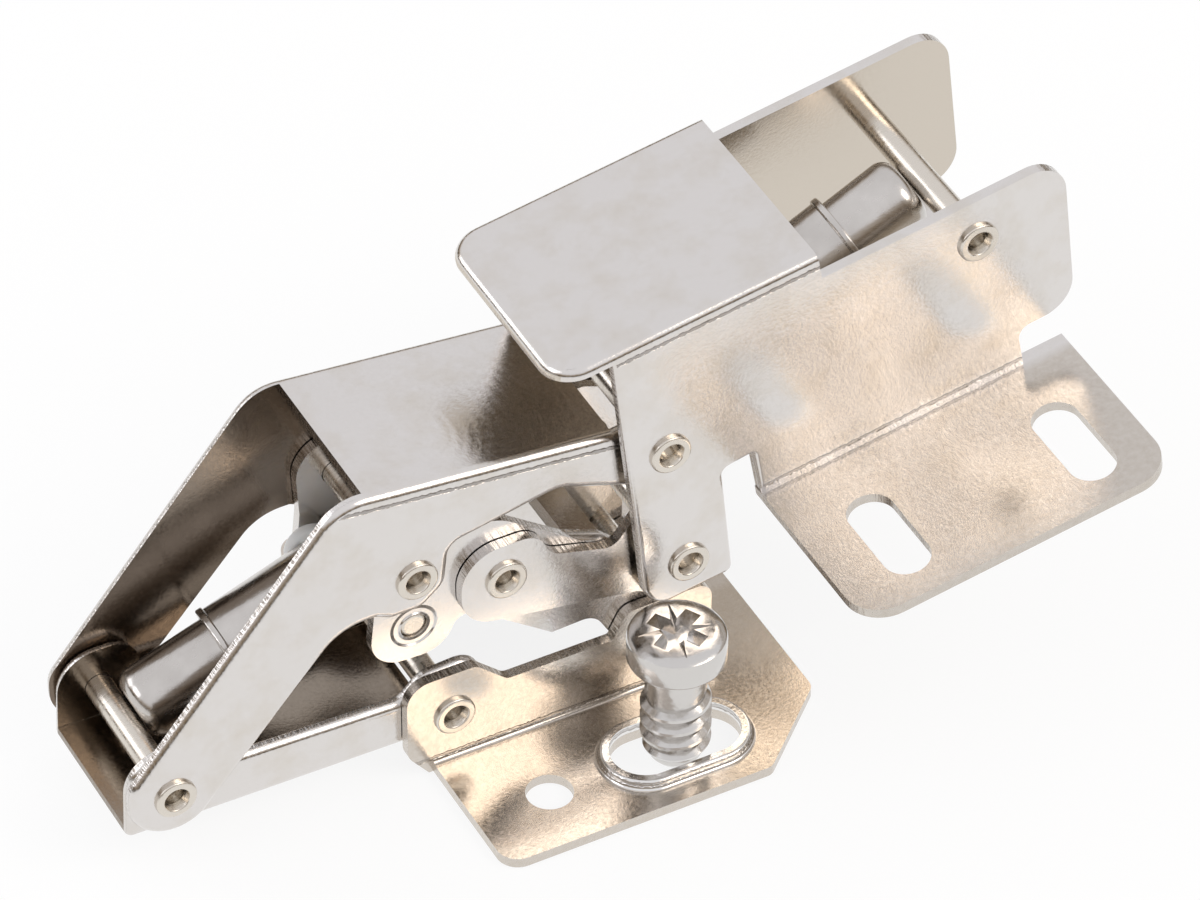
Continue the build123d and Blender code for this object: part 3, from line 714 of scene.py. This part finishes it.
def tick_cutter(turned):
    """Four sharp wedges between the bars, which run out towards the rim."""
    shape = bmesh.new()
    for quarter in range(4):
        tick = bmesh.ops.create_cube(shape, size=1.0)["verts"]
        for vert in tick:
            outer = 1.0 if vert.co.x > 0 else 0.0
            above = vert.co.z > 0
            keel = 1.0 if above else 0.05
            vert.co.x = (0.9 + 2.5 * outer) * MM
            vert.co.y *= (1.0 - 0.7 * outer) * MM * keel
            vert.co.z = HEAD_TOP + (0.3 if above else 0.45 * outer - 0.7) * MM
        spun = Matrix.Rotation(turned + (quarter + 0.5) * math.pi / 2, 4, "Z")
        bmesh.ops.transform(shape, matrix=spun, verts=tick)
    return shape


def bright_nickel(tree):
    """The brightest plating: a soft mirror with a faint slow wave."""
    where = add(tree, "ShaderNodeTexCoord").outputs["Object"]
    wave = add(tree, NOISE, {"Scale": 420.0, "Detail": 2.0}, {"Vector": where})
    peel = add(tree, NOISE, {"Scale": 3000.0, "Detail": 2.0}, {"Vector": where})
    gloss = add(
        tree, RANGE, {"From Min": 0.3, "From Max": 0.7, "To Min": 0.13, "To Max": 0.24},
        {"Value": peel},
    )
    slow = add(tree, BUMP, {"Strength": 0.4, "Distance": 0.25 * MM}, {"Height": wave})
    fine = add(
        tree, BUMP, {"Strength": 0.2, "Distance": 0.02 * MM}, {"Height": peel, "Normal": slow},
    )
    return add(
        tree, "ShaderNodeBsdfPrincipled", {"Metallic": 1.0, "Base Color": srgb("#d2cfcc")},
        {"Roughness": gloss, "Normal": fine},
    )


screw_steel = material("bright nickel plated steel", bright_nickel)
for name, y, turned in (("near", -SCREW_Y, math.radians(30)), ("far", SCREW_Y, math.radians(65))):
    blank = piece("screw_blank", screw_body(), screw_steel)
    tools = [
        piece("cross_tool", cross_cutter(turned), screw_steel),
        piece("tick_tool", tick_cutter(turned), screw_steel),
    ]
    for tool in tools:
        cut = blank.modifiers.new("recess", "BOOLEAN")
        cut.operation = "DIFFERENCE"
        cut.solver = "EXACT"
        cut.use_self = True
        cut.object = tool
    struck = blank.evaluated_get(bpy.context.evaluated_depsgraph_get())
    headed = bmesh.new()
    headed.from_mesh(bpy.data.meshes.new_from_object(struck))
    for tool in tools + [blank]:
        bpy.data.objects.remove(tool)
    ridge = thread_ridge()
    bmesh.ops.recalc_face_normals(ridge, faces=ridge.faces)
    ridge_mesh = bpy.data.meshes.new("thread ridge")
    ridge.to_mesh(ridge_mesh)
    ridge.free()
    headed.from_mesh(ridge_mesh)
    bmesh.ops.translate(headed, vec=(SCREW_X, y, 0), verts=headed.verts)
    screw = piece(f"screw_{name}", headed, screw_steel, angle=28)
    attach(screw, "base")
    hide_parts(f"fixing_screw_{name}")
